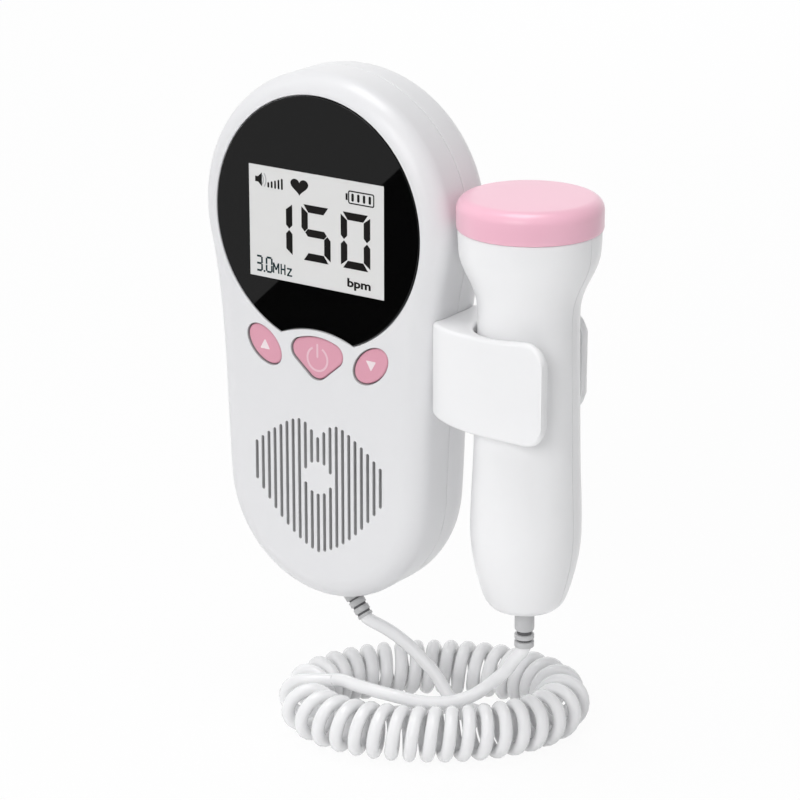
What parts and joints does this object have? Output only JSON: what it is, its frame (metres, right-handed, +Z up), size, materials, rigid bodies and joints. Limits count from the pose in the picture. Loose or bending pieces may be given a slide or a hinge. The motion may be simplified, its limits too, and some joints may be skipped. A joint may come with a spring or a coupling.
{
  "type": "fetal doppler monitor",
  "caption": "Handheld fetal heart monitor: egg-shaped casing with round display window, buttons and heart grille, probe in a side clip, curly cord.",
  "frame": {"origin": "on the casing's flat back, behind the centre of its round head", "axes": "+X to the object's right, where the probe is clipped; +Y out of the flat back; +Z up towards the round head; the display faces -Y"},
  "size_m": [0.1099, 0.0656, 0.1712],
  "materials": {
    "white_plastic": "satin",
    "pink_plastic": "satin",
    "cap_plastic": "gloss",
    "lens_black": "gloss",
    "display_grey": "gloss",
    "backlight_white": "matt",
    "board_green": "satin",
    "dark_plastic": "matt",
    "steel": "plated",
    "crystal_copper": "satin",
    "cord_white": "gloss"
  },
  "bodies": {
    "casing": {"front_shell": "white_plastic", "rear_shell": "white_plastic", "display_lens": "lens_black", "display_glass": "display_grey", "display_backlight": "backlight_white", "main_board": "board_green", "processor_chip": "dark_plastic", "amplifier_chip": "dark_plastic", "up_switch": "dark_plastic", "power_switch": "dark_plastic", "down_switch": "dark_plastic", "grille_cloth": "dark_plastic", "speaker_frame": "steel", "speaker_cone": "dark_plastic", "speaker_magnet": "dark_plastic", "left_cell": "dark_plastic", "right_cell": "dark_plastic", "left_cell_spring": "steel", "right_cell_spring": "steel", "left_cell_contact": "steel", "right_cell_contact": "steel", "case_screw_1": "steel", "case_screw_2": "steel", "case_screw_3": "steel", "case_screw_4": "steel", "board_screw_1": "steel", "board_screw_2": "steel", "board_screw_3": "steel", "board_screw_4": "steel", "probe_clip": "white_plastic", "clip_screw_1": "steel", "clip_screw_2": "steel", "unit_strain_relief": "cord_white", "unit_lead": "cord_white", "curly_coil": "cord_white", "probe_lead": "cord_white"},
    "up_button": {"up_button": "pink_plastic"},
    "power_button": {"power_button": "pink_plastic"},
    "down_button": {"down_button": "pink_plastic"},
    "battery_cover": {"battery_cover": "white_plastic"},
    "probe": {"probe_front_shell": "white_plastic", "probe_rear_shell": "white_plastic", "probe_cap": "cap_plastic", "transducer_holder": "dark_plastic", "transmit_crystal": "crystal_copper", "receive_crystal": "crystal_copper", "probe_board": "board_green", "probe_strain_relief": "cord_white"}
  },
  "joints": [
    {"name": "up_button_press", "type": "slide", "parent": "casing", "child": "up_button", "axis": [0, 1, 0], "range_m": [0, 0.0008], "stiffness_N_per_m": 500},
    {"name": "power_button_press", "type": "slide", "parent": "casing", "child": "power_button", "axis": [0, 1, 0], "range_m": [0, 0.0008], "stiffness_N_per_m": 500},
    {"name": "down_button_press", "type": "slide", "parent": "casing", "child": "down_button", "axis": [0, 1, 0], "range_m": [0, 0.0008], "stiffness_N_per_m": 500},
    {"name": "battery_cover_hinge", "type": "hinge", "parent": "casing", "child": "battery_cover", "pos_m": [0, 0, -0.0824], "axis": [-1, 0, 0], "range_deg": [0, 80]},
    {"name": "probe_slide", "type": "slide", "parent": "casing", "child": "probe", "axis": [1, 0, 0], "range_m": [0, 0.032]}
  ]
}
